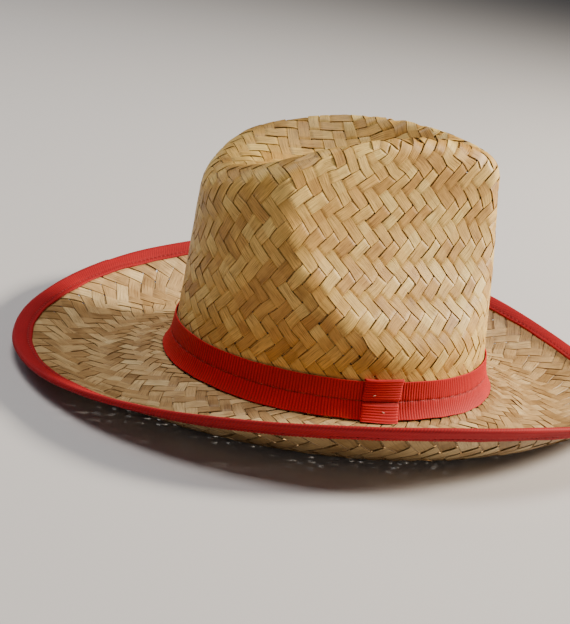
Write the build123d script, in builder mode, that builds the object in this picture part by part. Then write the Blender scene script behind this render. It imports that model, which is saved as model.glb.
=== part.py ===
from build123d import *
import math
import os

# A western straw hat with a pinched teardrop crown and a brim that is curled up at the sides.
# +X is the front of the hat, +Y is the wearer's left side and +Z is up. The origin is on the
# ground under the middle of the hat: it stands on the two troughs of its brim, z = 0.

# Driving dimensions, in millimetres.
BASE = 7.4  # height of the line where crown and brim meet
STRAW = 2.0  # thickness of the woven straw
CROWN_HALF_LENGTH = 97.5
CROWN_HALF_WIDTH = 81.5
CROWN_HEIGHT = 150.0  # highest point of the ridges above the base line
DISH_DEPTH = 26.0  # crease in the top, below its ridges
PINCH_DEPTH = 42.0  # how far the side pinches run in from the foot to the ridge
BRIM_HALF_LENGTH = 188.5
BRIM_HALF_WIDTH = 158.5
SIDE_RISE = 27.0  # brim edge above the base line at the sides
END_RISE = 1.5  # brim edge above the base line at the front and the back
TROUGH = 6.4  # depth of the brim's trough, halfway out
RIBBON = 0.8  # thickness of the ribbons
BAND_HEIGHT = 22.0
BINDING_COVER = 8.0  # how far the binding reaches in over each face of the brim, along its slope
WIRE_RADIUS = 0.6
THREAD_RADIUS = 0.3
GAP = 0.3  # clearance between soft layers

PINCH_BLEND = 7.0  # width of the rounding where a pinch meets the crown's wall

# How finely the curved surfaces are measured before a smooth surface is laid through them.
CROWN_LEVELS = (1.2, 4, 8, 14, 22, 35, 50, 70, 95, 120, 145, 165)
CROWN_TURNS = 20
SHEET_STEPS = 22
HALF_TURN = [math.pi * step / 18 for step in range(19)]


def even_spline(points, periodic=False):
    """A smooth curve with evenly spaced knots, which keeps the curves of one loft in step."""
    spans = len(points) if periodic else len(points) - 1
    knots = [step / spans for step in range(spans + 1)]
    return Edge.make_spline(points, periodic=periodic, parameters=knots)


def smooth_max(first, second, width):
    """The larger of two values, with the corner between them rounded over a width."""
    near = max(width - abs(first - second), 0) / width
    return max(first, second) + near * near * width / 4


def wall_section(height):
    """Centre, half length and half width of the crown's oval at a height over the base line."""
    flare = 4.5 * math.exp(-max(height, 0) / 7)
    centre = -0.04 * height
    half_length = CROWN_HALF_LENGTH - 0.075 * height + flare
    half_width = CROWN_HALF_WIDTH - 0.05 * height + flare
    return centre, half_length, half_width


def wall_distance(x, y, height):
    """Distance outside the crown's oval wall, negative inside it."""
    centre, half_length, half_width = wall_section(height)
    stretch = math.hypot((x - centre) / half_length, y / half_width)
    return math.hypot(x - centre, y) * (1 - 1 / max(stretch, 1e-6))


def pinch_distance(x, y, height):
    """Distance outside the two side pinches, which sweep in to the ridge and to the front."""
    drop = min(max((CROWN_HEIGHT - height) / 112, 0), 1.4)
    half_width = 38 - 0.28 * x + 8 * drop + PINCH_DEPTH * drop**2.8
    slope = math.hypot(0.28, 0.07 + 2.8 * PINCH_DEPTH / 112 * drop**1.8)
    return (abs(y) - half_width) / math.hypot(1, slope)


def top_distance(x, y, height):
    """Height over the arched top with its teardrop dish, which is wide at the back."""
    along = x / 86
    arch = CROWN_HEIGHT + 11 * along - 23 * along**2
    end = (x + 4) / 80
    half_width = 34 * (1 - 0.8 * min(max(end, -1.05), 1.05))
    ring = end**2 + (y / half_width) ** 2
    dish = DISH_DEPTH * max(0, 1 - ring) ** 1.5
    outside = min(max(math.sqrt(ring) - 1, 0), 1.5)
    shoulder = 9 * outside**2 * min(max(0.5 - end, 0), 1)
    return height - arch + dish + shoulder


def crown_radius(turn, height, inset):
    """Distance from the axis to the crown's side, set in by a distance, in one direction."""
    near, far = 5.0, 140.0
    for _ in range(30):
        middle = (near + far) / 2
        x, y = middle * math.cos(turn), middle * math.sin(turn)
        wall = wall_distance(x, y, height)
        if smooth_max(wall, pinch_distance(x, y, height), PINCH_BLEND) + inset < 0:
            near = middle
        else:
            far = middle
    return near


def height_sheet(half_length, half_width, height):
    """A smooth sheet over a rectangle, at the height that a function gives."""
    places = [2 * i / SHEET_STEPS - 1 for i in range(SHEET_STEPS + 1)]
    points = []
    for u in places:
        x = half_length * u
        points.append([Vector(x, half_width * v, height(x, half_width * v)) for v in places])
    return Face.make_surface_from_array_of_points(points, tol=0.05, min_deg=3, max_deg=3)


def crown_block(inset):
    """The solid under the crown's surface, set in by a distance all round."""

    def top(x, y):
        return BASE - top_distance(x, y, 0) - inset

    with BuildPart() as block:
        for height in CROWN_LEVELS:
            turns = [math.tau * step / CROWN_TURNS for step in range(CROWN_TURNS)]
            radii = [crown_radius(turn, height, inset) for turn in turns]
            with BuildSketch(Plane.XY.offset(BASE + height)):
                with BuildLine():
                    pairs = zip(radii, turns)
                    points = [Vector(r * math.cos(t), r * math.sin(t)) for r, t in pairs]
                    add(even_spline(points, periodic=True))
                make_face()
        loft()
        split(bisect_by=height_sheet(116, 100, top), keep=Keep.BOTTOM)
    return block.part


def brim_section(turn):
    """The upright plane across the brim in one direction, at its edge, and the brim's width."""
    half_length, half_width = wall_section(0)[1] - STRAW, wall_section(0)[2] - STRAW
    inner = Vector(half_length * math.cos(turn), half_width * math.sin(turn))
    edge = Vector(BRIM_HALF_LENGTH * math.cos(turn), BRIM_HALF_WIDTH * math.sin(turn))
    outward = (edge - inner).normalized()
    plane = Plane(edge, x_dir=outward, z_dir=(outward.Y, -outward.X, 0))
    return plane, (edge - inner).length


def edge_rise(turn):
    """Height of the brim's edge over the base line: low at the ends, highest towards the front."""
    side = math.sin(turn) ** 2
    return END_RISE + side * (SIDE_RISE + 8 * math.cos(turn))


def rim(turn, distance):
    """The level distance that a distance along the brim's slope takes up at its edge."""
    slope = 2 * edge_rise(turn) / (0.65 * brim_section(turn)[1])
    return distance / math.hypot(1, slope)


def brim_spot(turn, beyond, lift=0.0):
    """A point of the brim in its section plane: level distance beyond the edge, and height.

    It is lifted off the brim's middle surface, square to it."""
    width = brim_section(turn)[1]
    rise = edge_rise(turn)

    def height(distance):
        out = 1 + distance / width
        curl = (max(out - 0.35, 0) / 0.65) ** 2
        trough = 16 * (out * (1 - out)) ** 2 if 0 < out < 1 else 0
        return BASE + rise * curl - TROUGH * trough

    slope = height(beyond + 0.5) - height(beyond - 0.5)
    lean = lift / math.hypot(1, slope)
    return beyond - slope * lean, height(beyond) + lean


def brim_curve(turn, start, stop, lift, steps):
    """A curve across the brim at one lift, between two distances beyond the brim's edge."""
    places = [start + (stop - start) * step / steps for step in range(steps + 1)]
    curve = even_spline([Vector(*brim_spot(turn, place, lift)) for place in places])
    add(curve)
    return curve


def brim_point(turn, beyond, lift):
    """A point on or off the brim, in the hat's own frame."""
    return brim_section(turn)[0].from_local_coords(Vector(*brim_spot(turn, beyond, lift)))


def edge_ring(beyond, lift, radius):
    """A closed cord that follows the brim's edge, eight-sided, drawn on one side and mirrored."""
    with BuildPart() as ring:
        for turn in HALF_TURN:
            with BuildSketch(brim_section(turn)[0]):
                with Locations(Vector(*brim_spot(turn, rim(turn, beyond), lift))):
                    RegularPolygon(radius, 8)
        loft()
        mirror(about=Plane.XZ)
    return ring.part


def wall_oval(height, standoff):
    """Plane and half sizes of an oval that stands off the crown's wall at a height."""
    centre, half_length, half_width = wall_section(height)
    plane = Plane((centre, 0, BASE + height))
    return plane, half_length + standoff, half_width + standoff


def wall_ring(levels):
    """A ring round the crown's foot.

    Each level is a height over the base line, then how far the ring's inner and outer faces
    stand off the crown's wall there."""
    with BuildPart() as ring:
        for face, mode in ((2, Mode.ADD), (1, Mode.SUBTRACT)):
            for level in levels:
                plane, half_length, half_width = wall_oval(level[0], level[face])
                with BuildSketch(plane):
                    Ellipse(half_length, half_width)
            loft(ruled=True, mode=mode)
    return ring.part


def wall_plane(turn, height, standoff):
    """A place off the crown's wall, with its Z axis level and along the wall."""
    plane, half_length, half_width = wall_oval(height, standoff)
    x = plane.origin.X + half_length * math.cos(turn)
    y = half_width * math.sin(turn)
    along = Vector(-half_length * math.sin(turn), half_width * math.cos(turn), 0)
    return Plane(Vector(x, y, plane.origin.Z), z_dir=along)


def finish(builder, name):
    """Label a finished piece and write it to its own file."""
    builder.part.label = name
    export_step(builder.part, f"parts/{name}.step")


os.makedirs("parts", exist_ok=True)

# The crown: one woven shell, open below, with a dish in its top and a pinch in each side.
# Its lower edge stands on the brim.
with BuildPart() as crown:
    add(crown_block(0))
    add(crown_block(STRAW), mode=Mode.SUBTRACT)
finish(crown, "crown")

# The brim: a woven ring whose inner edge lies under the crown's wall. It is drawn as upright
# sections round one side of the hat, and mirrored.
with BuildPart() as brim:
    for turn in HALF_TURN:
        section, width = brim_section(turn)
        with BuildSketch(section):
            with BuildLine():
                upper = brim_curve(turn, -width, 0, STRAW / 2, 8)
                lower = brim_curve(turn, 0, -width, -STRAW / 2, 8)
                Line(upper @ 1, lower @ 0)
                Line(lower @ 1, upper @ 0)
            make_face()
    loft()
    mirror(about=Plane.XZ)
finish(brim, "brim")

# The binding: a ribbon folded over the brim's edge, with room for the wire in its fold.
binding_inside = STRAW / 2 + 0.1
binding_face = binding_inside + RIBBON
with BuildPart() as brim_binding:
    for turn in HALF_TURN:
        with BuildSketch(brim_section(turn)[0]):
            with BuildLine():
                cover, shoulder = rim(turn, -BINDING_COVER), rim(turn, 1.4)
                fold, nose = rim(turn, 2.3), rim(turn, 3.2)
                upper = brim_curve(turn, cover, shoulder, binding_face, 4)
                lower = brim_curve(turn, shoulder, cover, -binding_face, 4)
                ThreePointArc(upper @ 1, brim_spot(turn, nose), lower @ 0)
                under = brim_curve(turn, cover, fold, -binding_inside, 4)
                over = brim_curve(turn, fold, cover, binding_inside, 4)
                Line(lower @ 1, under @ 0)
                Line(under @ 1, over @ 0)
                Line(over @ 1, upper @ 0)
            make_face()
    loft()
    mirror(about=Plane.XZ)
finish(brim_binding, "brim_binding")

# The wire that keeps the brim's curl, and the crimped tube that joins its ends at the back.
WIRE_BEYOND = 1.1
with BuildPart() as brim_wire:
    add(edge_ring(WIRE_BEYOND, 0, WIRE_RADIUS))
finish(brim_wire, "brim_wire")

with BuildPart() as wire_ferrule:
    with Locations(Plane(brim_point(math.pi, rim(math.pi, WIRE_BEYOND), 0), z_dir=(0, 1, 0))):
        Cylinder(WIRE_RADIUS + 0.3, 12)
        Cylinder(WIRE_RADIUS + 0.05, 12, mode=Mode.SUBTRACT)
finish(wire_ferrule, "wire_ferrule")

# The seams that hold the binding, one line of thread on each face.
with BuildPart() as binding_stitching:
    for side in (1, -1):
        add(edge_ring(2.5 - BINDING_COVER, side * (binding_face + 0.1), THREAD_RADIUS))
finish(binding_stitching, "binding_stitching")

# The hat band: its upper half lies on the crown's wall and its lower half flares over the brim.
BAND_SEAM = BAND_HEIGHT / 2
on_band = GAP + RIBBON
with BuildPart() as hat_band:
    add(wall_ring([(1.5, 1.0, 1.0 + RIBBON), (BAND_SEAM, GAP, on_band), (BAND_HEIGHT, GAP, on_band)]))
finish(hat_band, "hat_band")

# The keeper: a short loop of the same ribbon, folded over the band's upper edge on the right.
KEEPER_X = 8.5
KEEPER_WIDTH = 25.0
KEEPER_TOP = BAND_HEIGHT + 1.3
keeper_face = on_band + 0.1 + 1.0
with BuildPart() as band_keeper:
    add(
        wall_ring(
            [
                (1.4, 2.0, 3.0),
                (BAND_SEAM, on_band + 0.1, keeper_face),
                (KEEPER_TOP, on_band + 0.1, keeper_face),
            ]
        )
    )
    add(wall_ring([(BAND_HEIGHT + 0.3, GAP, keeper_face), (KEEPER_TOP, GAP, keeper_face)]))
    with Locations((KEEPER_X, -CROWN_HALF_WIDTH, BASE + BAND_SEAM)):
        Box(KEEPER_WIDTH, 30, 40, mode=Mode.INTERSECT)
finish(band_keeper, "band_keeper")

# Two tack stitches that hold the keeper's face.
keeper_turns = [-math.acos((KEEPER_X + shift) / CROWN_HALF_LENGTH) for shift in (-4.0, 2.0)]
with BuildPart() as keeper_tacks:
    for turn, height in zip(keeper_turns, (16.0, 6.5)):
        standoff = keeper_face + 0.1 + (0.45 if height < BAND_SEAM else 0)
        with Locations(wall_plane(turn, height, standoff)):
            Cylinder(THREAD_RADIUS, 2.4)
finish(keeper_tacks, "keeper_tacks")

# The running stitch that holds the band and the keeper at half height.
BAND_STITCHES = 72
with BuildPart() as band_stitching:
    for step in range(BAND_STITCHES):
        turn = math.tau * (step + 0.5) / BAND_STITCHES
        spot = wall_plane(turn, BAND_SEAM, on_band)
        on_keeper = abs(spot.origin.X - KEEPER_X) < KEEPER_WIDTH / 2 + 2.5 and spot.origin.Y < 0
        standoff = keeper_face if on_keeper else on_band
        with Locations(wall_plane(turn, BAND_SEAM, standoff + 0.1)):
            Cylinder(THREAD_RADIUS, 4.6)
finish(band_stitching, "band_stitching")

# The sweatband: a cloth strip inside the crown's foot, sewn on near its lower edge.
sweat_out = -STRAW - 2 * GAP
sweat_in = sweat_out - 1.0
SWEAT_LEVELS = (-1.0, 1.0, 3.0, 6.0, 10.0, 28.0)
with BuildPart() as sweatband:
    add(wall_ring([(height, sweat_in, sweat_out) for height in SWEAT_LEVELS]))
finish(sweatband, "sweatband")

SWEAT_STITCHES = 80
with BuildPart() as sweatband_stitching:
    for step in range(SWEAT_STITCHES):
        turn = math.tau * (step + 0.5) / SWEAT_STITCHES
        with Locations(wall_plane(turn, 3.0, sweat_in - 0.1)):
            Cylinder(THREAD_RADIUS, 4.2)
finish(sweatband_stitching, "sweatband_stitching")
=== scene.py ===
import math

import bpy
import numpy as np
from mathutils import Matrix, Vector


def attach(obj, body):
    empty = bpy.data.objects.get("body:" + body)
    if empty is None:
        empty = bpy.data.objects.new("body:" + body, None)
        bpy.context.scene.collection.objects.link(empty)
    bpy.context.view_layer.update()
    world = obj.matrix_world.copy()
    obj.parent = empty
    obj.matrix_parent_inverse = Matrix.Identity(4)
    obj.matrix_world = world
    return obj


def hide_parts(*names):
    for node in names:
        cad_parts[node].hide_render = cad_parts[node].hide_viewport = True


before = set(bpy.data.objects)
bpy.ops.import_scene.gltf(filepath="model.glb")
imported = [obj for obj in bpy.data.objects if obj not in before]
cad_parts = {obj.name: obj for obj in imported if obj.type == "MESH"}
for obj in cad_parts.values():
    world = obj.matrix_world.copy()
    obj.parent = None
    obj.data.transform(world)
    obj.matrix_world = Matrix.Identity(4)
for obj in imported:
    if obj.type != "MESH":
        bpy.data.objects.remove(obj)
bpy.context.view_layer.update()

chance = np.random.default_rng(7)

METRE = 0.001  # one millimetre, in metres

# The hat's form, in millimetres, as the CAD model has it. Heights are over the base line, where
# crown and brim meet, and that line is BASE above the ground.
BASE = 7.4
STRAW = 2.0
CROWN_HALF_LENGTH = 97.5
CROWN_HALF_WIDTH = 81.5
CROWN_HEIGHT = 150.0
CROWN_LEAN = 0.04  # how far the crown leans back, per millimetre of height
DISH_DEPTH = 26.0
DISH_HALF_LENGTH = 80.0
DISH_HALF_WIDTH = 34.0
DISH_TAPER = 0.8  # share of that half width lost from the dish's middle to its front
ARCH_LENGTH = 86.0  # length over which the top's arch gains its lean and its fall
ARCH_LEAN = 11.0
ARCH_FALL = 23.0
PINCH_DEPTH = 42.0
PINCH_FLARE = 8.0  # a further steady opening on the way down
PINCH_FALL = 112.0  # how far down from the top the pinch reaches
PINCH_TOP = 38.0  # half width between the two pinches at the top
PINCH_TAPER = 0.28  # how that half width narrows towards the front
BRIM_HALF_LENGTH = 188.5
BRIM_HALF_WIDTH = 158.5
SIDE_RISE = 27.0
END_RISE = 1.5
TROUGH = 6.4  # how far the brim sags between crown and edge
CURL_START = 0.35  # share of the brim's width where it begins to curl up
CURL_SPAN = 0.65

# Ribbons and their seams.
RIB = 1.8  # pitch of the ribs in the band and the binding
RIB_COLUMNS = 4
BAND_LENGTH = 590.0  # only sets how many ribs the band has
BAND_SEAM = 11.0
BAND_FOOT = 1.3
BAND_TOP = 22.1
BAND_STITCHES = 72
KEEPER_X = 8.5
KEEPER_WIDTH = 23.5
KEEPER_RIB = 1.4
BINDING_COVER = 8.0  # how far the binding reaches in from the brim's edge
BINDING_SEAM = 2.4  # how far its seam lies from its inner edge
BINDING_STITCH = 3.4  # pitch of its stitches
BINDING_SLANT = 0.55  # how far its ribs run along for each millimetre across
JOIN_AT = 0.375  # where its ends overlap, as a share of the way round from the front
JOIN_LENGTH = 34.0
FACE_LIFT = 1.55  # how far its two faces stand off the middle of the brim
FOLD = 1.4  # how far beyond the brim's edge the binding begins to turn
TURNED_IN = 0.6  # lift of the binding's inner edges, which touch the straw
THREAD = 0.2
BAND_STITCH = 4.6  # length of a stitch
SWEAT_SEAM = 3.0
SWEAT_STITCHES = 90
SWEAT_STITCH = 4.2
FOOT_RADIUS = 92.0  # mean radius of the crown's foot, to turn a stitch's length into a turn

# The weave: how many strips lie between the middle of the top and the corners of its weave,
# and how many rows there are from there down to the base line.
STRIP = 6.6
CORNER_SIDE = 8
CORNER_END = 20
CROWN_ROWS = 40
BRIM_STRIPS = 84
BRIM_ROWS = 17
BRIM_GROWTH = 1.89  # width of a strip at the brim's edge, over its width at the crown

# Across a strip: place from edge to edge, and how far the skin drops towards the edges.
SECTION = np.array([-1.0, -0.95, 0.95, 1.0])
SECTION_DROP = np.array([0.34, 0.0, 0.0, 0.34])
STEPS = 6  # points along a strip for each cell that it crosses
SWING = 0.36  # how far a strip rises where it lies over, and sinks where it lies under
CROWN_FILL = 0.86  # least share of its room that a strip fills
BRIM_FILL = 0.88
THIN_STRIPS = 0.08  # share of the strips that are thinner than that
THINNER = (0.78, 0.9)
STRIP_DRIFT = 0.022  # sideways, in widths of the strip's room
STRIP_TILT = 0.11
CROWN_JITTER = 0.28
BRIM_TURN_JITTER = 0.0036
BRIM_SHARE_JITTER = 0.006


# ---------------------------------------------------------------- helpers


def unit(vectors):
    return vectors / np.maximum(np.linalg.norm(vectors, axis=-1, keepdims=True), 1e-9)


def smooth_max(first, second, width):
    near = np.maximum(width - np.abs(first - second), 0) / width
    return np.maximum(first, second) + near * near * width / 4


def hump(offset, width):
    """A smooth bump, 1 where offset is 0."""
    return np.exp(-((offset / width) ** 2))


def run_along(points):
    """Distance along a line at each of its points."""
    return np.concatenate([[0], np.cumsum(np.linalg.norm(np.diff(points, axis=0), axis=1))])


def slow_wave(run, whole, sizes):
    """A gentle uneven wave along a closed loop, from a few whole numbers of turns."""
    total = np.zeros_like(run)
    for turns, size in sizes:
        total = total + size * np.sin(math.tau * turns * run / whole + chance.uniform(0, 6))
    return total


def smooth_rail(points, steps):
    """A smooth curve through points, with an even number of steps between each pair."""
    padded = np.concatenate([[2 * points[0] - points[1]], points, [2 * points[-1] - points[-2]]])
    spans = (padded[:-3], padded[1:-2], padded[2:-1], padded[3:])
    before, start, stop, after = (part[:, None, :] for part in spans)
    t = (np.arange(steps) / steps)[None, :, None]
    curve = 0.5 * (
        2 * start
        + (stop - before) * t
        + (2 * before - 5 * start + 4 * stop - after) * t**2
        + (3 * start - before - 3 * stop + after) * t**3
    )
    return np.concatenate([curve.reshape(-1, points.shape[1]), points[-1:]])


# ---------------------------------------------------------------- forms


def wall_section(height):
    """Centre, half length and half width of the crown's oval."""
    flare = 4.5 * np.exp(-np.maximum(height, 0) / 7)
    half_length = CROWN_HALF_LENGTH - 0.075 * height + flare
    return -CROWN_LEAN * height, half_length, CROWN_HALF_WIDTH - 0.05 * height + flare


def pinch_distance(x, y, height):
    """Distance outside the two pinches, which open out towards the crown's foot."""
    drop = np.clip((CROWN_HEIGHT - height) / PINCH_FALL, 0, 1.4)
    half_width = PINCH_TOP - PINCH_TAPER * x + PINCH_FLARE * drop + PINCH_DEPTH * drop**2.8
    slope = np.hypot(PINCH_TAPER, 0.07 + 2.8 * PINCH_DEPTH / PINCH_FALL * drop**1.8)
    return (np.abs(y) - half_width) / np.hypot(1, slope)


def top_distance(x, y, height):
    """Distance over the top: an arch from front to back, with a teardrop dish in it and a
    shoulder that falls away behind the dish."""
    along = x / ARCH_LENGTH
    arch = CROWN_HEIGHT + ARCH_LEAN * along - ARCH_FALL * along**2
    end = (x + 4) / DISH_HALF_LENGTH
    dish_width = DISH_HALF_WIDTH * (1 - DISH_TAPER * np.clip(end, -1.05, 1.05))
    ring = end**2 + (y / dish_width) ** 2
    dish = DISH_DEPTH * np.maximum(0, 1 - ring) ** 1.5
    outside = np.clip(np.sqrt(ring) - 1, 0, 1.5)
    shoulder = 9 * outside**2 * np.clip(0.5 - end, 0, 1)
    return 0.95 * (height - arch + dish + shoulder)


def crown_distance(points):
    """Roughly the distance outside the crown, for rows of x, y and height."""
    x, y, height = points.T
    centre, half_length, half_width = wall_section(height)
    stretch = np.maximum(np.hypot((x - centre) / half_length, y / half_width), 1e-6)
    wall = np.hypot(x - centre, y) * (1 - 1 / stretch)
    wall = smooth_max(wall, pinch_distance(x, y, height), 7.0)
    return smooth_max(wall, top_distance(x, y, height), 10.0)


def crown_slope(points):
    """Direction out of the crown's surface."""
    steps = 0.4 * np.eye(3)
    slope = [crown_distance(points + step) - crown_distance(points - step) for step in steps]
    return np.stack(slope, -1) / 0.8


def settle_on_crown(points, rounds=3):
    """Move points onto the middle of the crown's straw."""
    for _ in range(rounds):
        slope = crown_slope(points)
        size = np.maximum((slope**2).sum(-1), 0.05)
        points = points - slope * ((crown_distance(points) + STRAW / 2) / size)[:, None]
    return points


def place_on_wall(turn, height, standoff):
    """Points round the crown's foot, a distance outside its wall."""
    centre, half_length, half_width = wall_section(height)
    x = centre + (half_length + standoff) * np.cos(turn)
    y = (half_width + standoff) * np.sin(turn)
    return np.stack(np.broadcast_arrays(x, y, height), -1)


def wall_loop(standoff, height, columns):
    """Turns and runs of columns in even steps round the crown's foot, and the whole run."""
    fine = np.linspace(0, math.tau, 4001)
    run = run_along(place_on_wall(fine, height, standoff))
    wanted = np.arange(columns) / columns * run[-1]
    return np.interp(wanted, run, fine), wanted, run[-1]


def band_standoff(height):
    """How far the band's outer face stands off the wall: flat above the seam, flared below."""
    below = np.clip((BAND_SEAM - height) / BAND_SEAM, 0, 1)
    return 0.85 + 1.15 * below**1.3


def brim_inner():
    """Half length and half width of the brim's inner edge."""
    _, half_length, half_width = wall_section(0)
    return half_length - STRAW, half_width - STRAW


def edge_rise(turn):
    """Height of the brim's edge."""
    side = np.sin(turn) ** 2
    return END_RISE + side * (SIDE_RISE + 8 * np.cos(turn))


def brim_width(turn):
    half_length, half_width = brim_inner()
    long_way = (BRIM_HALF_LENGTH - half_length) * np.cos(turn)
    wide_way = (BRIM_HALF_WIDTH - half_width) * np.sin(turn)
    return np.hypot(long_way, wide_way)


def rim(turn, distance):
    """The level distance that a distance along the brim's slope takes up at its edge."""
    return distance / np.hypot(1, 2 * edge_rise(turn) / (CURL_SPAN * brim_width(turn)))


def brim_level(turn, beyond):
    """Points on the brim's middle surface, a level distance beyond its edge."""
    half_length, half_width = brim_inner()
    inner = np.stack([half_length * np.cos(turn), half_width * np.sin(turn)], -1)
    edge = np.stack([BRIM_HALF_LENGTH * np.cos(turn), BRIM_HALF_WIDTH * np.sin(turn)], -1)
    out = 1 + beyond / brim_width(turn)
    curl = (np.maximum(out - CURL_START, 0) / CURL_SPAN) ** 2
    inside = np.clip(out, 0, 1)
    height = edge_rise(turn) * curl - TROUGH * 16 * (inside * (1 - inside)) ** 2
    level = edge + unit(edge - inner) * np.asarray(beyond)[..., None]
    return np.concatenate([level, height[..., None]], -1)


def brim_place(turn, beyond, lift):
    """Points and upward normals on a surface lifted off the brim's middle."""
    here = brim_level(turn, beyond)
    across = brim_level(turn, beyond + 0.4) - brim_level(turn, beyond - 0.4)
    along = brim_level(turn + 0.004, beyond) - brim_level(turn - 0.004, beyond)
    normal = unit(np.cross(across, along))
    return here + normal * np.asarray(lift)[..., None], normal


# ---------------------------------------------------------------- meshes


def make_piece(name, points, faces, material, uv=None, values=None):
    """A smooth mesh piece from points in millimetres over the base line and four-sided faces."""
    mesh = bpy.data.meshes.new(name)
    count = len(faces)
    placed = (points + np.array([0, 0, BASE])) * METRE
    mesh.vertices.add(len(points))
    mesh.vertices.foreach_set("co", placed.astype(np.float32).ravel())
    mesh.loops.add(4 * count)
    mesh.loops.foreach_set("vertex_index", faces.astype(np.int32).ravel())
    mesh.polygons.add(count)
    mesh.polygons.foreach_set("loop_start", np.arange(0, 4 * count, 4, dtype=np.int32))
    mesh.polygons.foreach_set("use_smooth", np.ones(count, dtype=bool))
    mesh.update(calc_edges=True)
    if uv is not None:
        layer = mesh.uv_layers.new(name="UVMap")
        layer.data.foreach_set("uv", uv[faces.ravel()].astype(np.float32).ravel())
    for key, numbers in (values or {}).items():
        attribute = mesh.attributes.new(key, "FLOAT", "POINT")
        attribute.data.foreach_set("value", numbers.astype(np.float32))
    mesh.materials.append(material)
    piece = bpy.data.objects.new(name, mesh)
    bpy.context.collection.objects.link(piece)
    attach(piece, "root")
    return piece


def grid_faces(rows, columns, closed=False):
    """Four-sided faces over a grid of points, closed in its first direction or not."""
    last = rows if closed else rows - 1
    across = np.arange(columns - 1)[None, :]
    first = np.arange(last)[:, None] * columns + across
    after = (np.arange(last)[:, None] + 1) % rows * columns + across
    return np.stack([first, first + 1, after + 1, after], -1).reshape(-1, 4)


def grid_uv(along, across):
    """Texture places in millimetres for a grid of points."""
    grid = np.broadcast_arrays(np.asarray(along)[:, None], np.asarray(across)[None, :])
    return np.stack(grid, -1).reshape(-1, 2)


def sharpen_columns(piece, columns):
    """Crisp shading across the edges that run along a strip."""
    mesh = piece.data
    ends = np.zeros(2 * len(mesh.edges), dtype=np.int32)
    mesh.edges.foreach_get("vertices", ends)
    column = ends.reshape(-1, 2) % columns
    sharp = mesh.attributes.new("sharp_edge", "BOOLEAN", "EDGE")
    sharp.data.foreach_set("value", column[:, 0] == column[:, 1])


# ---------------------------------------------------------------- weave


class Weave:
    """Woven cells. Each cell has four corners in order, and two strips cross it.

    The strip through the cell's first and third sides lies over the other one where over
    is true."""

    def __init__(self):
        self.nodes = {}
        self.cells = []
        self.over = []

    def node(self, *key):
        return self.nodes.setdefault(key, len(self.nodes))

    def cell(self, corners, over):
        self.cells.append(corners)
        self.over.append(over)

    def strips(self):
        """Every strip, as its left and right nodes and whether it lies over in each cell."""
        sides = {}
        for index, corners in enumerate(self.cells):
            for side in range(4):
                pair = frozenset((corners[side], corners[(side + 1) % 4]))
                sides.setdefault(pair, []).append((index, side))
        done = set()
        for pair, users in sides.items():
            if len(users) > 1 or pair in done:
                continue
            index, side = users[0]
            corners = self.cells[index]
            left, right = [corners[side]], [corners[(side + 1) % 4]]
            lies_over = []
            while True:
                corners = self.cells[index]
                lies_over.append(self.over[index] == (side % 2 == 0))
                next_right = corners[(corners.index(right[-1]) + 1) % 4]
                if next_right == left[-1]:
                    next_right = corners[(corners.index(right[-1]) - 1) % 4]
                used = (left[-1], right[-1], next_right)
                next_left = [corner for corner in corners if corner not in used][0]
                left.append(next_left)
                right.append(next_right)
                gate = frozenset((next_left, next_right))
                others = [user for user in sides[gate] if user[0] != index]
                if not others:
                    done.add(gate)
                    break
                index, side = others[0]
            done.add(pair)
            yield left, right, lies_over


def crown_weave():
    """The crown's twill: strips along and across the top, slanted both ways down the sides.

    A node is a place in strips from the middle of the top. Below each of the weave's four
    corners the two neighbouring quarters are sewn together, so places on their borders are
    the same node."""
    weave = Weave()

    def node_at(x, y):
        if abs(y) - abs(x) == CORNER_SIDE:
            x = abs(x)
        if abs(x) - abs(y) == CORNER_END:
            y = -abs(y)
        return weave.node(x, y)

    def add_cell(i, j, corners, turned):
        weave.cell(corners, ((i + j) % 4 < 2) == turned)

    for x_side in (1, -1):
        for y_side in (1, -1):
            for i in range(CROWN_ROWS):
                for j in range(CROWN_ROWS - 1 - i):
                    if not 1 - CORNER_END <= j - i <= CORNER_SIDE - 1:
                        continue
                    places = ((i, j), (i + 1, j), (i + 1, j + 1), (i, j + 1))
                    corners = [node_at(x_side * a, y_side * b) for a, b in places]
                    add_cell(i, j, corners, x_side * y_side < 0)
    for side in (1, -1):
        for i in range((CROWN_ROWS - CORNER_SIDE) // 2):
            j = i + CORNER_SIDE
            places = ((i, j), (i + 1, j), (i + 1, j + 1), (-i - 1, j))
            add_cell(i, j, [node_at(a, side * b) for a, b in places], side < 0)
        for j in range((CROWN_ROWS - CORNER_END) // 2):
            i = j + CORNER_END
            places = ((i, -j), (i, -j - 1), (i + 1, -j - 1), (i, j + 1))
            add_cell(i, j, [node_at(side * a, b) for a, b in places], side < 0)
    return weave


def crown_ray(way, core, tilts):
    """A line down the crown's skin, in one direction seen from above."""
    rays = np.stack([way[0] * np.sin(tilts), way[1] * np.sin(tilts), np.cos(tilts)], -1)
    near, far = np.full(len(tilts), 10.0), np.full(len(tilts), 250.0)
    for _ in range(14):
        middle = (near + far) / 2
        inside = crown_distance(core + rays * middle[:, None]) < -STRAW / 2
        near, far = np.where(inside, middle, near), np.where(inside, far, middle)
    path = core + rays * near[:, None]
    return path[path[:, 2] > -2]


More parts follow.
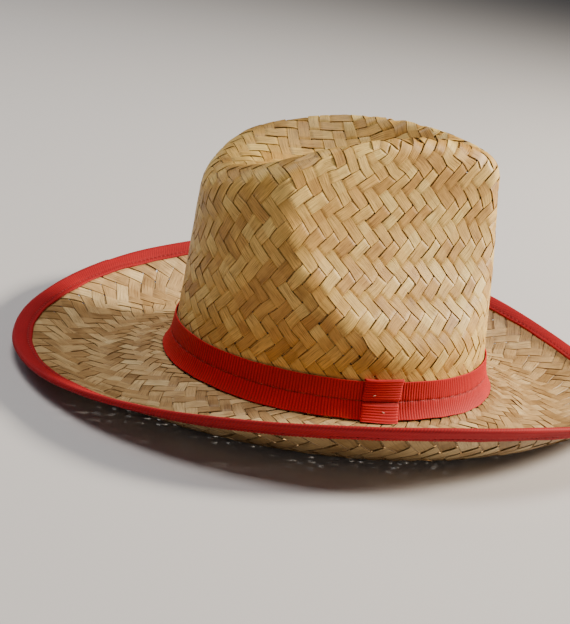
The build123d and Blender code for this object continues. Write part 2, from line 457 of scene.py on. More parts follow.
def crown_start(keys):
    """A first place on the crown for each node of its weave."""
    angles = np.linspace(0, math.pi / 2, 91)
    quarter = np.stack([CROWN_HALF_LENGTH * np.sin(angles), CROWN_HALF_WIDTH * np.cos(angles)], -1)
    run = run_along(quarter)
    bearing = np.arctan2(quarter[:, 0], quarter[:, 1])
    tilts = np.radians(np.linspace(0, 122, 140))
    places = np.zeros((len(keys), 3))
    core = np.array([0, 0, 50.0])
    for index, (x, y) in enumerate(keys):
        row = abs(x) + abs(y)
        low, high = min(row, CORNER_SIDE), min(row, CORNER_END)
        share = (abs(x) - abs(y) + low) / max(low + high, 1)
        turn = np.interp(share * run[-1], run, bearing)
        if row < CORNER_SIDE:
            turn = math.atan2(abs(x), abs(y)) if row else 0
        x_side = 1 if x >= 0 else -1
        y_side = 1 if y > 0 else -1
        path = crown_ray((math.sin(turn) * x_side, math.cos(turn) * y_side), core, tilts)
        length = run_along(path)
        want = length[-1] * row / CROWN_ROWS
        places[index] = [np.interp(want, length, path[:, axis]) for axis in range(3)]
    return places


def relax_crown(weave):
    """Let the weave's cells draw to an even size over the crown, held at its foot."""
    keys = np.array(list(weave.nodes))
    places = crown_start(keys)
    free = np.abs(keys).sum(1) < CROWN_ROWS
    corners = np.array(weave.cells)
    sides = np.concatenate([corners[:, [a, (a + 1) % 4]] for a in range(4)])
    sides = np.unique(np.sort(sides, axis=1), axis=0)
    crosses = np.concatenate([corners[:, [0, 2]], corners[:, [1, 3]]])
    links = np.concatenate([sides, crosses])
    is_side = np.arange(len(links)) < len(sides)
    rest = np.where(is_side, STRIP, STRIP * math.sqrt(2))
    pull = np.where(is_side, 1.0, 0.35)
    weight = np.zeros(len(places))
    np.add.at(weight, links[:, 0], pull)
    np.add.at(weight, links[:, 1], pull)
    speed = np.zeros_like(places)
    for _ in range(500):
        gap = places[links[:, 1]] - places[links[:, 0]]
        length = np.maximum(np.linalg.norm(gap, axis=1), 1e-6)
        move = gap * (pull * 0.5 * (length - rest) / length)[:, None]
        shift = np.zeros_like(places)
        np.add.at(shift, links[:, 0], move)
        np.add.at(shift, links[:, 1], -move)
        speed = 0.9 * speed + 0.9 * shift / weight[:, None]
        speed[~free] = 0
        places = places + speed
        places[free] = settle_on_crown(places[free], rounds=1)
    places[free] += chance.normal(0, CROWN_JITTER, (int(free.sum()), 3))
    return settle_on_crown(places)


def weave_height(lies_over, cells):
    """Height along a strip: 1 where it lies over, -1 where it lies under."""
    state = np.where(lies_over, 1.0, -1.0)
    border = np.clip(np.round(cells).astype(int), 1, len(state) - 1)
    blend = np.clip((cells - border) / 0.45 + 0.5, 0, 1)
    blend = blend * blend * (3 - 2 * blend)
    return state[border - 1] * (1 - blend) + state[border] * blend


def wander(cells, every, size):
    """A slow random change along a strip, with a new value every few cells."""
    knots = np.arange(0, cells[-1] + every + 1, every)
    return np.interp(cells, knots, chance.normal(0, size, len(knots)))


def lay_strips(weave, rails, place, fill):
    """All strips of a weave as one mesh's points, faces, texture places and values.

    rails gives the two lines a strip lies between, and place turns spots between them into
    points and normals. fill is the least share of its room that a strip fills, except for
    the few thin ones."""
    points, faces, uv, tones, edges = [], [], [], [], []
    start = 0
    wide = len(SECTION)
    for left, right, lies_over in weave.strips():
        left_rail, right_rail = (smooth_rail(rail, STEPS)[:, None, :] for rail in rails(left, right))
        rows = len(left_rail)
        cells = np.arange(rows) / STEPS
        height = weave_height(lies_over, cells)

        cover = chance.uniform(fill, 1.0)
        if chance.random() < THIN_STRIPS:
            cover *= chance.uniform(*THINNER)
        drift = wander(cells, 3, STRIP_DRIFT)
        tilt = wander(cells, 2, STRIP_TILT)
        spread = (0.5 + drift[:, None] + 0.5 * cover * SECTION)[..., None]
        spots = left_rail * (1 - spread) + right_rail * spread
        skin, normal = place(spots.reshape(-1, spots.shape[-1]))
        lift = SWING * height[:, None] - SECTION_DROP + tilt[:, None] * SECTION
        skin = skin + normal * lift.reshape(-1, 1)
        points.append(skin)
        faces.append(grid_faces(rows, wide) + start)
        start += len(skin)

        grid = skin.reshape(rows, wide, 3)
        width = np.linalg.norm(grid[rows // 2, 0] - grid[rows // 2, -1])
        offset = chance.uniform(0, 900)
        strip_uv = grid_uv(run_along(grid.mean(1)) + offset * 3, SECTION * width / 2 + offset)
        uv.append(strip_uv[:, ::-1])

        own = chance.uniform(0, 1)
        patch = np.repeat(chance.uniform(-0.22, 0.22, rows // STEPS + 2), STEPS)[:rows]
        tones.append(np.repeat(np.clip(own * 0.75 + 0.125 + patch, 0, 1), wide))
        # Painted shade along the strip's edges and, below, where the strip lies under a crossing strip.
        painted_edge_shade = np.tile(np.abs(SECTION) ** 60, rows)
        under = np.repeat(np.clip(-height, 0, 1), wide)
        edges.append(painted_edge_shade * 0.9 + under * 0.22)
    points, faces, uv, tones, edges = map(np.concatenate, (points, faces, uv, tones, edges))
    return points, faces, uv, {"tone": tones, "edge": edges}


def place_on_crown(spots):
    points = settle_on_crown(spots)
    return points, unit(crown_slope(points))


def brim_weave():
    """The brim's twill: a ring of cells that grow towards the edge."""
    weave = Weave()

    def node_at(row, step):
        return weave.node(row, step % BRIM_STRIPS)

    for row in range(BRIM_ROWS - 1):
        odd = row % 2
        for step in range(BRIM_STRIPS):
            right, left = node_at(row + 1, step + odd), node_at(row + 1, step - 1 + odd)
            corners = [node_at(row, step), right, node_at(row + 2, step), left]
            weave.cell(corners, row % 4 < 2)
    return weave


def brim_rails(keys):
    """Rails in turns round the hat and shares of the brim's width."""
    row, step = keys.T
    share = (BRIM_GROWTH ** (row / BRIM_ROWS) - 1) / (BRIM_GROWTH - 1)
    turn = math.tau * (step + 0.5 * (row % 2)) / BRIM_STRIPS
    inner = row * (BRIM_ROWS - row) > 0
    turn = turn + inner * chance.normal(0, BRIM_TURN_JITTER, len(turn))
    share = share + inner * chance.normal(0, BRIM_SHARE_JITTER, len(turn))
    places = np.stack([turn, share], -1)

    def rails(left, right):
        both = np.stack([places[left], places[right]])
        middle = np.unwrap(both[0, :, 0])
        both[0, :, 0] = middle
        both[1, :, 0] = middle + (both[1, :, 0] - middle + math.pi) % math.tau - math.pi
        return both[0], both[1]

    return rails


def place_on_brim(spots):
    turn, share = spots.T
    return brim_place(turn, (share - 1) * brim_width(turn), np.zeros_like(turn))


# ---------------------------------------------------------------- materials


def new_material(name):
    material = bpy.data.materials.new(name)
    material.use_nodes = True
    tree = material.node_tree
    tree.nodes.clear()
    output = tree.nodes.new("ShaderNodeOutputMaterial")
    shader = tree.nodes.new("ShaderNodeBsdfPrincipled")
    tree.links.new(shader.outputs["BSDF"], output.inputs["Surface"])
    return material, tree, shader


def add_node(tree, kind, **settings):
    """A new node with its properties and unlinked inputs set by name."""
    made = tree.nodes.new(kind)
    for key, value in settings.items():
        if key in made.inputs:
            made.inputs[key].default_value = value
        else:
            setattr(made, key, value)
    return made


def set_inputs(shader, **settings):
    """Set a shader's inputs by name, with underscores for the spaces."""
    for key, value in settings.items():
        shader.inputs[key.replace("_", " ")].default_value = value


def ramp(tree, factor, *stops):
    made = tree.nodes.new("ShaderNodeValToRGB")
    band = made.color_ramp
    while len(band.elements) < len(stops):
        band.elements.new(0.5)
    for element, (place, colour) in zip(band.elements, stops):
        element.position = place
        element.color = (*colour, 1)
    tree.links.new(factor, made.inputs["Fac"])
    return made.outputs["Color"]


def mix(tree, kind, factor, first, second):
    """Two colours mixed; factor is a number or a socket."""
    made = add_node(tree, "ShaderNodeMix", data_type="RGBA", blend_type=kind)
    if isinstance(factor, (int, float)):
        made.inputs[0].default_value = factor
    else:
        tree.links.new(factor, made.inputs[0])
    for slot, value in ((6, first), (7, second)):
        if isinstance(value, tuple):
            made.inputs[slot].default_value = (*value, 1)
        else:
            tree.links.new(value, made.inputs[slot])
    return made.outputs[2]


def value_of(tree, name):
    return add_node(tree, "ShaderNodeAttribute", attribute_name=name).outputs["Fac"]


def uv_of(tree):
    return add_node(tree, "ShaderNodeUVMap", uv_map="UVMap").outputs["UV"]


def noise(tree, place, **settings):
    made = add_node(tree, "ShaderNodeTexNoise", **settings)
    tree.links.new(place, made.inputs["Vector"])
    return made.outputs["Fac"]


def drawn_out_noise(tree, uv, scale, **settings):
    """Noise with its own scale across and along a strip or a ribbon."""
    mapping = add_node(tree, "ShaderNodeMapping", Scale=(*scale, 1))
    tree.links.new(uv, mapping.inputs["Vector"])
    return noise(tree, mapping.outputs["Vector"], Scale=1.0, **settings)


def roughen(tree, shader, factor, low, high):
    rough = add_node(tree, "ShaderNodeMapRange")
    rough.inputs["To Min"].default_value = low
    rough.inputs["To Max"].default_value = high
    tree.links.new(factor, rough.inputs["Value"])
    tree.links.new(rough.outputs["Result"], shader.inputs["Roughness"])


def emboss(tree, shader, height, strength, distance):
    bump = add_node(tree, "ShaderNodeBump", Strength=strength, Distance=distance)
    tree.links.new(height, bump.inputs["Height"])
    tree.links.new(bump.outputs["Normal"], shader.inputs["Normal"])


def darker(colour, share):
    return tuple(part * share for part in colour)


def straw_material(name, stops, shade):
    """Dried palm leaf: each strip has its own tone, with fibres along it; its edges and the parts that
    dip under a crossing strip are darkened with painted shade.
    """
    material, tree, shader = new_material(name)
    uv = uv_of(tree)
    fibre = drawn_out_noise(tree, uv, (2.6, 0.07), Detail=5.0, Roughness=0.65)
    blotch = drawn_out_noise(tree, uv, (0.16, 0.05), Detail=3.0, Roughness=0.6)
    fibres = ramp(
        tree,
        fibre,
        (0.34, (0.34, 0.25, 0.18)),
        (0.46, (0.88, 0.85, 0.80)),
        (0.72, (1.25, 1.25, 1.22)),
    )
    blotches = ramp(
        tree,
        blotch,
        (0.3, (0.66, 0.60, 0.52)),
        (0.52, (1.0, 1.0, 1.0)),
        (0.75, (1.12, 1.08, 1.0)),
    )
    base = ramp(tree, value_of(tree, "tone"), *stops)
    colour = mix(tree, "MULTIPLY", 1.0, base, fibres)
    colour = mix(tree, "MULTIPLY", 0.8, colour, blotches)
    # Painted shade: the edge value mixes strip edges and parts lying under a crossing strip towards the
    # shade colour.
    colour = mix(tree, "MIX", value_of(tree, "edge"), colour, shade)
    tree.links.new(colour, shader.inputs["Base Color"])
    roughen(tree, shader, fibre, 0.36, 0.62)
    set_inputs(shader, Specular_IOR_Level=0.42)
    emboss(tree, shader, fibre, 0.5, 0.00022)
    return material


def ribbon_material(name, deep, bright, glow):
    """Ribbed rayon ribbon: fine yarns across the ribs, painted shade in the grooves, soft sheen."""
    material, tree, shader = new_material(name)
    uv = uv_of(tree)
    yarn = drawn_out_noise(tree, uv, (0.9, 3.4), Detail=4.0, Roughness=0.6)
    fade = drawn_out_noise(tree, uv, (0.03, 0.06), Detail=3.0)
    base = ramp(tree, yarn, (0.3, deep), (0.62, bright))
    # Painted shade: the groove value darkens grooves, seams and keeper edges towards a deep red.
    base = mix(tree, "MIX", value_of(tree, "groove"), base, darker(deep, 0.16))
    wear = ramp(tree, fade, (0.3, (0.84, 0.80, 0.80)), (0.7, (1.12, 1.1, 1.1)))
    tree.links.new(mix(tree, "MULTIPLY", 0.8, base, wear), shader.inputs["Base Color"])
    set_inputs(shader, Roughness=0.68, Specular_IOR_Level=0.25)
    set_inputs(shader, Sheen_Weight=glow, Sheen_Roughness=0.45, Sheen_Tint=(1.0, 0.35, 0.3, 1))
    emboss(tree, shader, yarn, 0.35, 0.0001)
    return material


def thread_material(name, colour, roughness):
    """Twisted sewing thread."""
    material, tree, shader = new_material(name)
    place = add_node(tree, "ShaderNodeTexCoord").outputs["Object"]
    twist = noise(tree, place, Scale=2600.0, Detail=2.0)
    base = ramp(tree, twist, (0.35, darker(colour, 0.6)), (0.6, colour))
    tree.links.new(base, shader.inputs["Base Color"])
    set_inputs(shader, Roughness=roughness)
    emboss(tree, shader, twist, 0.4, 0.00008)
    return material


def cotton_material(name, colour):
    """Plain cotton tape with a fine weave and a little soiling."""
    material, tree, shader = new_material(name)
    uv = uv_of(tree)
    threads = []
    for direction in ("X", "Y"):
        wave = add_node(tree, "ShaderNodeTexWave", Scale=0.55, Distortion=0.6, bands_direction=direction)
        tree.links.new(uv, wave.inputs["Vector"])
        threads.append(wave.outputs["Color"])
    cloth = mix(tree, "MULTIPLY", 1.0, *threads)
    soil = noise(tree, uv, Scale=0.05, Detail=4.0)
    base = ramp(tree, soil, (0.35, darker(colour, 0.72)), (0.6, colour))
    tree.links.new(mix(tree, "MULTIPLY", 0.18, base, cloth), shader.inputs["Base Color"])
    set_inputs(shader, Roughness=0.85, Sheen_Weight=0.15)
    emboss(tree, shader, cloth, 0.4, 0.0002)
    return material


def metal_material(name, colour):
    """Drawn metal with dull patches."""
    material, tree, shader = new_material(name)
    place = add_node(tree, "ShaderNodeTexCoord").outputs["Object"]
    patch = noise(tree, place, Scale=220.0, Detail=4.0)
    base = ramp(tree, patch, (0.35, darker(colour, 0.55)), (0.65, colour))
    tree.links.new(base, shader.inputs["Base Color"])
    set_inputs(shader, Metallic=1.0)
    roughen(tree, shader, patch, 0.28, 0.5)
    return material


CROWN_STOPS = [
    (0.0, (0.54, 0.30, 0.070)),
    (0.3, (0.65, 0.39, 0.100)),
    (0.65, (0.77, 0.51, 0.145)),
    (1.0, (0.90, 0.67, 0.23)),
]
# The brim has the crown's straw; these darker, greyer stops are painted shade.
SHADED_BRIM_STOPS = [
    (0.0, (0.33, 0.20, 0.075)),
    (0.3, (0.46, 0.30, 0.13)),
    (0.65, (0.58, 0.41, 0.20)),
    (1.0, (0.70, 0.54, 0.29)),
]
# The last colour given to each straw is the painted shade at strip edges and under crossing strips.
crown_straw = straw_material("crown_straw", CROWN_STOPS, (0.13, 0.062, 0.018))
# The brim's straw material: the crown's straw painted darker and greyer, as painted shade.
brim_straw = straw_material("brim_straw", SHADED_BRIM_STOPS, (0.13, 0.07, 0.028))
band_red = ribbon_material("band_ribbon", (0.42, 0.003, 0.006), (0.62, 0.008, 0.012), 0.06)
binding_red = ribbon_material("binding_ribbon", (0.30, 0.002, 0.006), (0.50, 0.006, 0.013), 0.05)
red_thread = thread_material("red_thread", (0.36, 0.005, 0.009), 0.5)
clear_thread = thread_material("clear_thread", (0.80, 0.42, 0.36), 0.18)
pale_thread = thread_material("pale_thread", (0.72, 0.66, 0.55), 0.6)
sweat_cotton = cotton_material("sweatband_cotton", (0.66, 0.58, 0.46))
wire_steel = metal_material("wire_steel", (0.55, 0.55, 0.56))
ferrule_brass = metal_material("ferrule_brass", (0.70, 0.50, 0.22))

# ---------------------------------------------------------------- straw pieces

weave = crown_weave()
places = relax_crown(weave)
points, faces, uv, values = lay_strips(
    weave, lambda left, right: (places[left], places[right]), place_on_crown, CROWN_FILL
)
crown = make_piece("crown_weave", points, faces, crown_straw, uv, values)
sharpen_columns(crown, len(SECTION))
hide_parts("crown")

weave = brim_weave()
rails = brim_rails(np.array(list(weave.nodes)))
points, faces, uv, values = lay_strips(weave, rails, place_on_brim, BRIM_FILL)
brim = make_piece("brim_weave", points, faces, brim_straw, uv, values)
sharpen_columns(brim, len(SECTION))
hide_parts("brim")

# ---------------------------------------------------------------- ribbons


def ribs(run, pitch=RIB):
    """Rounded ribs along a ribbon: height from 0 in a groove to 1 on a crest."""
    return np.abs(np.sin(math.pi * run / pitch)) ** 0.7


def groove_shade(rib, ribbed):
    """Painted shade in a ribbon's grooves."""
    return np.clip(1 - 1.5 * rib, 0, 1) * 0.75 * ribbed


def sheet_piece(name, rows, shades, along, across, material):
    """A closed ribbon from its rows of points, with painted shade for its grooves."""
    faces = grid_faces(len(along), len(rows), closed=True)
    values = {"groove": np.clip(np.stack(shades, 1).ravel(), 0, 1)} if shades else None
    points = np.stack(rows, 1).reshape(-1, 3)
    return make_piece(name, points, faces, material, grid_uv(along, across), values)


# The band: upright ribs that fade at its edges, drawn in along its seam by the stitches.
columns = round(BAND_LENGTH / RIB) * RIB_COLUMNS
turn, run, whole = wall_loop(1.0, BAND_SEAM, columns)
rib = ribs(np.arange(columns) / RIB_COLUMNS * RIB)
top_wave = slow_wave(run, whole, [(3, 0.18), (7, 0.12), (19, 0.07)])
low_wave = slow_wave(run, whole, [(4, 0.25), (9, 0.2), (31, 0.1)])
pull = 0.5 + 0.5 * np.cos(math.tau * BAND_STITCHES * run / whole)
below_seam = (BAND_FOOT, 1.6, 2.2, 4.0, 6.0, 8.0, 9.6, 10.4, 10.8)
above_seam = (11.2, 11.6, 12.4, 14.0, 16.0, 18.0, 20.0, 21.2, 21.8, BAND_TOP)
heights = [BAND_FOOT + 0.1, *below_seam, *above_seam, BAND_TOP - 0.1]
rows = []
shades = []
for index, height in enumerate(heights):
    turned_in = index in (0, len(heights) - 1)
    ribbed = 0 if turned_in else min((height - 1.2) / 0.9, (22.2 - height) / 0.9, 1)
    share = (height - BAND_FOOT) / (BAND_TOP - BAND_FOOT)
    level = height + share * top_wave + (1 - share) * low_wave
    offset = height - BAND_SEAM
    stand = band_standoff(height) - 0.7 * turned_in + 0.27 * ribbed * (rib - 0.6)
    stand = stand - hump(offset, 0.55) * (0.22 + 0.2 * pull) + 0.15 * hump(offset, 2.6) * (1 - pull)
    rows.append(place_on_wall(turn, level, stand))
    # Painted shade in the grooves and along the stitched seam.
    shades.append(groove_shade(rib, ribbed) + 0.5 * hump(offset, 0.4))
hat_band = sheet_piece("hat_band_ribbon", rows, shades, run, heights, band_red)
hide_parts("hat_band")

# The keeper: its ribs lie level, it is drawn in at the seam and folded over the band's top.
keeper_rows = [(height, 1.6, 1.0) for height in np.arange(0.9, 23.9, KEEPER_RIB / 5)]
keeper_rows += [(24.05, 0.95, 0.0), (24.05, 0.3, 0.0), (23.4, -0.55, 0.0), (22.4, -0.7, 0.0)]
across = np.concatenate([[-1.0], np.linspace(-0.985, 0.985, 27), [1.0]])
at_edge = np.abs(across) > 0.99
rows = []
shades = []
for height, out, ribbed in keeper_rows:
    rib = ribs(height, KEEPER_RIB)
    neck = hump(height - BAND_SEAM, 1.1)
    lean = 0.9 * (height - BAND_SEAM) / 12
    narrowing = 0.9 + 0.1 * height / 24 - 0.05 * neck + 0.015 * math.cos(height / 2.1)
    x = KEEPER_X + lean + across * KEEPER_WIDTH / 2 * narrowing
    turned = -np.arccos(np.clip((x + CROWN_LEAN * height) / (CROWN_HALF_LENGTH + 1.0), -1, 1))
    belly = 0.35 * (1 - across**2) * (1 - neck)
    stand = band_standoff(height) + out + belly - 0.9 * neck + 0.4 * ribbed * (rib - 0.6)
    stand = stand - np.where(at_edge, 0.55, 0.0) - 0.15 * np.abs(across) ** 8
    level = height + 0.25 * np.sin(across * 2.4) * (height / 12 - 1)
    rows.append(place_on_wall(turned, level, stand))
    # Painted shade in the grooves, at the drawn-in neck and along the edges.
    shades.append(groove_shade(rib, ribbed) + 0.36 * neck + 0.3 * at_edge)
levels = [height for height, out, ribbed in keeper_rows]
keeper = make_piece(
    "band_keeper_ribbon",
    np.stack(rows).reshape(-1, 3),
    grid_faces(len(rows), len(across)),
    band_red,
    grid_uv(levels, across * KEEPER_WIDTH / 2),
    {"groove": np.clip(np.stack(shades).ravel(), 0, 1)},
)
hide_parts("band_keeper")

# The brim's edge, as fine turns and the run to each of them.
edge_turns = np.linspace(0, math.tau, 6001)
edge_run = run_along(brim_level(edge_turns, np.zeros_like(edge_turns)))
edge_length = edge_run[-1]
edge_stitches = round(edge_length / BINDING_STITCH)

# The binding: folded over the brim's edge, with slanting ribs and an uneven inner edge. Each
# row of its section is a distance beyond the brim's edge and a lift off the brim's middle.
face = np.linspace(-BINDING_COVER, FOLD, 11)
section = [(-BINDING_COVER, TURNED_IN)]
section += [(beyond, FACE_LIFT) for beyond in face]
for angle in np.radians([60, 30, 0, -30, -60]):
    section.append((FOLD + FACE_LIFT * math.cos(angle), FACE_LIFT * math.sin(angle)))
section += [(beyond, -FACE_LIFT) for beyond in face[::-1]]
section.append((-BINDING_COVER, -TURNED_IN))
section = np.array(section)
slides = run_along(section)
on_face = np.isclose(np.abs(section[:, 1]), FACE_LIFT) | np.isclose(np.abs(section[:, 1]), TURNED_IN)

binding_ribs = round(edge_length / RIB)
rib_pitch = edge_length / binding_ribs
columns = binding_ribs * RIB_COLUMNS
run = np.arange(columns) / columns * edge_length
turn = np.interp(run, edge_run, edge_turns)
seam_pull = 0.5 + 0.5 * np.cos(math.tau * run / edge_length * edge_stitches)
wave_top = slow_wave(run, edge_length, [(5, 0.35), (13, 0.28), (37, 0.16)])
wave_low = slow_wave(run, edge_length, [(6, 0.4), (17, 0.28), (41, 0.15)])
past_join = run - JOIN_AT * edge_length
rows = []
shades = []
for (beyond, lift), slide, flat in zip(section, slides, on_face):
    rib = ribs(run + BINDING_SLANT * slide, rib_pitch)
    inner = np.clip(-beyond / BINDING_COVER, 0, 1) ** 2
    wave = wave_low if flat and lift < 0 else wave_top
    from_seam = beyond + BINDING_COVER - BINDING_SEAM
    seam = hump(from_seam, 0.6) * (0.25 + 0.2 * seam_pull) * flat
    join = np.clip((past_join - 1.6 * (slide - 12)) / 1.2, 0, 1)
    join = join * np.clip(1 - past_join / JOIN_LENGTH, 0, 1)
    swell = 0.42 * (rib - 0.6) - seam + 0.65 * join + 0.12 * np.sin(run / 9.0 + slide / 5)
    if abs(lift) == TURNED_IN:
        swell = np.zeros_like(run)
    nose = np.clip((beyond - FOLD) / FACE_LIFT, 0, 1)
    level = rim(turn, beyond + inner * wave + swell * nose)
    rows.append(brim_place(turn, level, lift + swell * np.sign(lift) * (1 - nose))[0])
    # Painted shade in the slanting grooves and along the seam.
    shades.append(np.clip(1.1 - 1.25 * rib, 0, 1) * 0.95 + seam * 0.8)
binding = sheet_piece("brim_binding_ribbon", rows, shades, run, slides, binding_red)
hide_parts("brim_binding")

# The sweatband: a cotton strip inside the crown's foot, a little uneven at its free edge.
turn, run, whole = wall_loop(-3.0, 10.0, 720)
buckle = slow_wave(run, whole, [(5, 0.25), (11, 0.2), (23, 0.08)])
profile = [(-1.0, -2.7), (-1.1, -3.3), (0.5, -3.5), (2.6, -3.55), (3.0, -3.35), (3.4, -3.55)]
profile += [(height, -3.6) for height in (6, 10, 14, 18, 22, 25, 27)] + [(28.2, -3.4), (28.2, -2.9)]
rows = []
for height, standoff in profile:
    free = max(height - 4, 0) / 24
    stand = standoff - free * (0.4 + np.abs(buckle))
    rows.append(place_on_wall(turn, height + free * buckle, stand))
levels = [height for height, standoff in profile]
sweatband = sheet_piece("sweatband_tape", rows, None, run, levels, sweat_cotton)
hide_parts("sweatband")

# ---------------------------------------------------------------- threads


def stitch_mesh(name, starts, stops, outward, radius, arch, material):
    """Short stitches from start to stop that dive at both ends and stand proud between."""
    rings, around = 6, 6
    t = np.linspace(0, 1, rings)
    from_middle = np.abs(2 * t - 1)
    side = unit(np.cross(outward, unit(stops - starts)))
    middle = starts[:, None, :] + (stops - starts)[:, None, :] * t[None, :, None]
    rise = arch * np.sin(math.pi * t) ** 0.6 - radius * 0.9 * from_middle**6
    middle = middle + outward[:, None, :] * rise[None, :, None]
    thick = radius * (1 - 0.35 * from_middle**4)
    angles = (np.arange(around) / around * math.tau)[None, :, None]
    circle = outward[:, None, :] * np.cos(angles) + side[:, None, :] * np.sin(angles)
    points = middle[:, :, None, :] + circle[:, None, :, :] * thick[None, :, None, None]
    ring = np.arange(rings - 1)[:, None] * around
    one = ring + np.arange(around)[None, :]
    two = ring + (np.arange(around) + 1)[None, :] % around
    tube = np.stack([one, two, two + around, one + around], -1).reshape(-1, 4)
    first = np.arange(len(starts)) * rings * around
    faces = (tube[None] + first[:, None, None]).reshape(-1, 4)
    return make_piece(name, points.reshape(-1, 3), faces, material)


def wall_outward(turn):
    return unit(np.stack([np.cos(turn), np.sin(turn), 0 * turn], -1))


def wall_spots(count, height, length):
    """Turns of stitches round the crown's foot, and half of what a stitch takes up."""
    turn, _, _ = wall_loop(1.0, height, count * 2)
    return turn[1::2], length / 2 / FOOT_RADIUS


turn, half = wall_spots(BAND_STITCHES, BAND_SEAM, BAND_STITCH)
from_keeper = np.abs(place_on_wall(turn, BAND_SEAM, 0.0)[:, 0] - KEEPER_X)
stand = np.where((from_keeper < KEEPER_WIDTH / 2) & (np.sin(turn) < 0), 1.5, 0.5)
starts = place_on_wall(turn - half, BAND_SEAM, stand)
stops = place_on_wall(turn + half, BAND_SEAM, stand)
band_seam = stitch_mesh(
    "band_seam_stitches", starts, stops, wall_outward(turn), THREAD, 0.3, red_thread
)
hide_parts("band_stitching")

turn, half = wall_spots(SWEAT_STITCHES, SWEAT_SEAM, SWEAT_STITCH)
starts = place_on_wall(turn - half, SWEAT_SEAM, -3.5)
stops = place_on_wall(turn + half, SWEAT_SEAM, -3.5)
sweat_seam = stitch_mesh(
    "sweatband_seam_stitches", starts, stops, -wall_outward(turn), 0.24, 0.3, pale_thread
)
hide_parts("sweatband_stitching")

run = (np.arange(edge_stitches) + 0.5) / edge_stitches * edge_length
first, second = (np.interp(run + step, edge_run, edge_turns) for step in (-1.15, 1.15))
spot = BINDING_SEAM - BINDING_COVER
starts, stops, outward = [], [], []
for side in (1, -1):
    lift = np.full(edge_stitches, side * 1.35)
    start, normal = brim_place(first, rim(first, spot), lift)
    stop, _ = brim_place(second, rim(second, spot), lift)
    starts.append(start)
    stops.append(stop)
    outward.append(normal * side)
starts, stops, outward = map(np.concatenate, (starts, stops, outward))
binding_seam = stitch_mesh(
    "binding_seam_stitches", starts, stops, outward, THREAD, 0.28, red_thread
)
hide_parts("binding_stitching")

# The tacks: two bright stitches in the keeper's face.
tack_x = np.array([KEEPER_X - 4.0, KEEPER_X + 1.5])
tack_height = np.array([15.0, 6.0])
tack_turn = -np.arccos(tack_x / CROWN_HALF_LENGTH)
stand = band_standoff(tack_height) + 1.55
slant = np.array([0.012, -0.01])
starts = place_on_wall(tack_turn - slant, tack_height - 0.5, stand)
stops = place_on_wall(tack_turn + slant, tack_height + 0.5, stand)
tacks = stitch_mesh(
    "keeper_tack_stitches", starts, stops, wall_outward(tack_turn), 0.4, 0.25, clear_thread
)
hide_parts("keeper_tacks")

# The wire and its ferrule keep their CAD shapes.
for name, material in (("brim_wire", wire_steel), ("wire_ferrule", ferrule_brass)):
    for kept_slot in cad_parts[name].material_slots:
        kept_slot.material = material

# ---------------------------------------------------------------- studio

FLOOR = 9.0
floor_mesh = bpy.data.meshes.new("floor")
floor_corners = [(-FLOOR, -FLOOR, 0), (FLOOR, -FLOOR, 0), (FLOOR, FLOOR, 0), (-FLOOR, FLOOR, 0)]
floor_mesh.from_pydata(floor_corners, [], [(0, 1, 2, 3)])
floor = bpy.data.objects.new("floor", floor_mesh)
bpy.context.collection.objects.link(floor)
floor_paint, _, floor_shader = new_material("floor_paint")
set_inputs(floor_shader, Base_Color=(0.60, 0.60, 0.63, 1), Roughness=0.85)
floor_mesh.materials.append(floor_paint)


def area_light(name, place, aim, size, power, colour):
    data = bpy.data.lights.new(name, "AREA")
    data.shape = "SQUARE"
    data.size = size
    data.energy = power
    data.color = colour
    lamp = bpy.data.objects.new(name, data)
    lamp.location = place
    lamp.rotation_euler = (Vector(aim) - Vector(place)).to_track_quat("-Z", "Y").to_euler()
    bpy.context.collection.objects.link(lamp)


area_light("key", (1.95, 0.0, 1.0), (0, 0, 0.06), 0.4, 120, (1.0, 0.88, 0.70))
area_light("overhead", (-0.35, 0.1, 2.0), (0, 0, 0.06), 0.9, 26, (1.0, 0.94, 0.86))
area_light("fill", (0.7, -1.9, 0.4), (0, 0, 0.06), 1.0, 2.6, (1.0, 0.95, 0.88))
area_light("back", (-1.2, 1.6, 1.3), (0, 0, 0.08), 1.1, 7, (0.86, 0.92, 1.0))

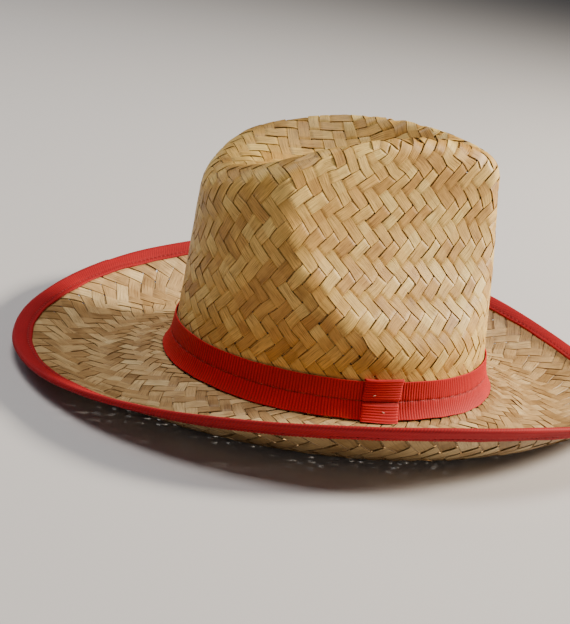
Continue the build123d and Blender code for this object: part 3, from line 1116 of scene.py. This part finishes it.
world = bpy.data.worlds.new("studio")
bpy.context.scene.world = world
world.use_nodes = True
set_inputs(world.node_tree.nodes["Background"], Color=(0.88, 0.86, 0.88, 1), Strength=0.055)

# The camera, by its distance from the middle of the base line, its bearing and height angle,
# its roll, its focal length in the photo's picture units, and where that middle shows.
DISTANCE = 800.0
BEARING, ELEVATION, ROLL = math.radians(-17.3), math.radians(20.7), math.radians(10.4)
PICTURE = (570, 624)
FOCAL = 1294.8
SHOWN_AT = (327.9, 361.9)
SENSOR = 24.0

level_x, level_y = math.sin(BEARING), -math.cos(BEARING)
back = Vector((level_x * math.cos(ELEVATION), level_y * math.cos(ELEVATION), math.sin(ELEVATION)))
ahead = -back
right = ahead.cross(Vector((0, 0, 1))).normalized()
upward = right.cross(ahead)
aside = SHOWN_AT[0] - PICTURE[0] / 2
above = PICTURE[1] / 2 - SHOWN_AT[1]
off_x = aside * math.cos(ROLL) - above * math.sin(ROLL)
off_y = aside * math.sin(ROLL) + above * math.cos(ROLL)
yaw = math.atan2(off_x, FOCAL)
pitch = math.atan2(off_y, math.hypot(FOCAL, off_x))
axis_x = right * math.cos(yaw) + ahead * math.sin(yaw)
axis_z = ahead * math.cos(yaw) - right * math.sin(yaw)
axis_y = upward * math.cos(pitch) + axis_z * math.sin(pitch)
axis_z = axis_z * math.cos(pitch) - upward * math.sin(pitch)
rolled_x = axis_x * math.cos(ROLL) + axis_y * math.sin(ROLL)
rolled_y = axis_y * math.cos(ROLL) - axis_x * math.sin(ROLL)
camera_data = bpy.data.cameras.new("camera")
camera_data.sensor_fit = "VERTICAL"
camera_data.sensor_height = SENSOR
camera_data.lens = SENSOR * FOCAL / PICTURE[1]
camera_data.clip_start = 0.05
camera = bpy.data.objects.new("camera", camera_data)
turned = Matrix((rolled_x, rolled_y, -axis_z)).transposed().to_4x4()
place = back * DISTANCE * METRE + Vector((0, 0, BASE * METRE))
camera.matrix_world = Matrix.Translation(place) @ turned
bpy.context.collection.objects.link(camera)
bpy.context.scene.camera = camera
